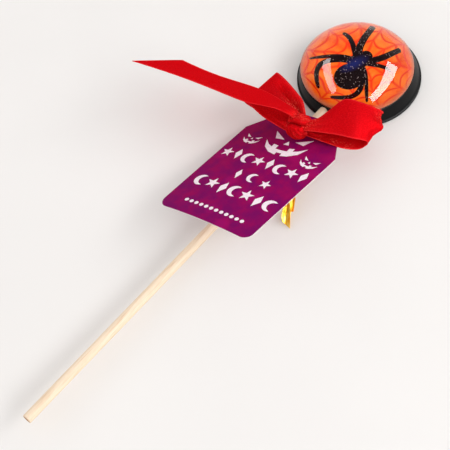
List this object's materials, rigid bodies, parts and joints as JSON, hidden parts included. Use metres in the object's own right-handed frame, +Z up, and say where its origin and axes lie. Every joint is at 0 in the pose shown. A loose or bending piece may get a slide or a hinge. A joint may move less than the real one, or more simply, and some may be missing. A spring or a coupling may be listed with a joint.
{
  "type": "lollipop",
  "caption": "Domed picture lollipop lying on its back, with a round wooden stick, a card tag, a ribbon bow and a foil twist tie.",
  "frame": {"origin": "centre of the candy's flat underside, which is what the lollipop rests on", "axes": "+Z up, out of the picture side of the candy; the stick leaves the candy along -Y"},
  "size_m": [0.0944, 0.2189, 0.0277],
  "materials": {
    "dark_candy": "opaque black boiled candy, satin",
    "printed_sheet": "printed edible sheet, sealed in",
    "clear_candy": "clear boiled candy, glossy",
    "stick_wood": "plain pale wood",
    "tag_card": "printed on its upper side, matt",
    "satin_ribbon": "satin weave",
    "gold_foil": "metallised film, shiny"
  },
  "bodies": {
    "root": {"candy_base": "dark_candy", "picture_sheet": "printed_sheet", "candy_dome": "clear_candy", "stick": "stick_wood", "tag": "tag_card", "ribbon_bow": "satin_ribbon", "twist_tie": "gold_foil"}
  },
  "joints": []
}
